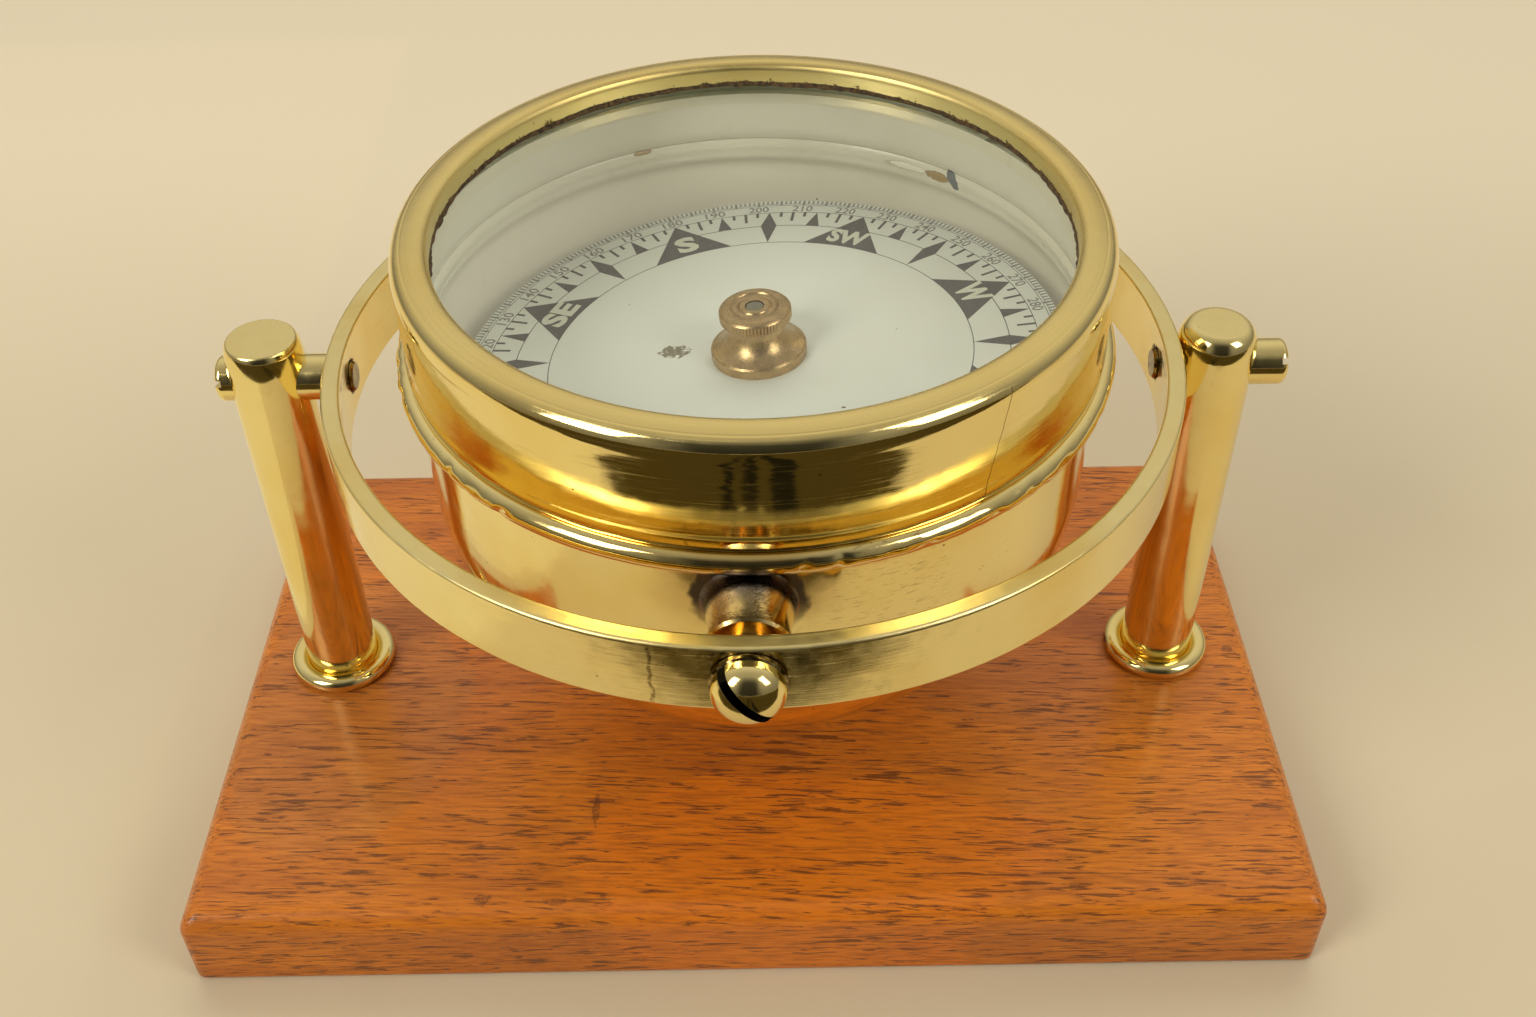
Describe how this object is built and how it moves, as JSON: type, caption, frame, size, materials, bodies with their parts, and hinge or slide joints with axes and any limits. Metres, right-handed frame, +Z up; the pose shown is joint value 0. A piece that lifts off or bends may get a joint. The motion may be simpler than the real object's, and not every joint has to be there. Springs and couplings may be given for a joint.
{
  "type": "ship compass",
  "caption": "Gimballed dry-card ship's compass in a brass bowl, hung between two brass posts on a wooden board.",
  "frame": {"origin": "middle of the board's underside", "axes": "+Z up along the bowl's axis, +Y to the back, +X to the right as seen from the front"},
  "size_m": [0.2, 0.1562, 0.1183],
  "materials": {
    "wood": "oiled and lightly varnished reddish hardwood",
    "polished_brass": "hand polished, fine scratches, old dents",
    "aged_brass": "dull bronze-brown patina",
    "steel": "plain",
    "lead": "dull grey cast lead",
    "solder": "soft solder, uneven",
    "window": "clear flat glass",
    "putty": "old dark sealing putty",
    "white_paint": "aged cream-white paint",
    "card_face": "printed card on mica, off-white",
    "jewel": "polished stone cup"
  },
  "bodies": {
    "stand": {"base_board": "wood", "left_post": "polished_brass", "right_post": "polished_brass", "left_post_collar": "polished_brass", "right_post_collar": "polished_brass", "post_screws": "steel", "post_screw_washers": "steel", "left_gimbal_pin": "polished_brass", "right_gimbal_pin": "polished_brass"},
    "gimbal": {"gimbal_ring": "polished_brass"},
    "bowl": {"bowl_shell": "polished_brass", "front_boss": "polished_brass", "rear_boss": "polished_brass", "front_solder": "solder", "rear_solder": "solder", "front_pivot_screw": "polished_brass", "rear_pivot_screw": "polished_brass", "front_screw_collar": "polished_brass", "rear_screw_collar": "polished_brass", "bezel": "polished_brass", "glass": "window", "glass_putty": "putty", "glass_seat_ring": "white_paint", "pivot_stem": "polished_brass", "pivot_point": "steel", "ballast_weight": "lead", "stem_washer": "polished_brass", "stem_nut": "polished_brass"},
    "card": {"compass_card": "card_face", "card_boss": "aged_brass", "cap_nut": "aged_brass", "jewel_cap": "jewel", "magnet_carrier": "aged_brass", "carrier_nut": "aged_brass", "left_magnet": "steel", "right_magnet": "steel", "magnet_straps": "aged_brass", "strap_rivets": "aged_brass"}
  },
  "joints": [
    {"name": "ring_tilt", "type": "hinge", "parent": "stand", "child": "gimbal", "pos_m": [0.0016, 0.0023, 0.0873], "axis": [1, 0, 0], "range_deg": [-60, 60]},
    {"name": "bowl_tilt", "type": "hinge", "parent": "gimbal", "child": "bowl", "pos_m": [0.0016, 0.0023, 0.0873], "axis": [0.014, 0.9999, 0], "continuous": true},
    {"name": "card_turn", "type": "hinge", "parent": "bowl", "child": "card", "pos_m": [0.0021, 0.0023, 0.0988], "axis": [0, 0, 1], "continuous": true}
  ]
}
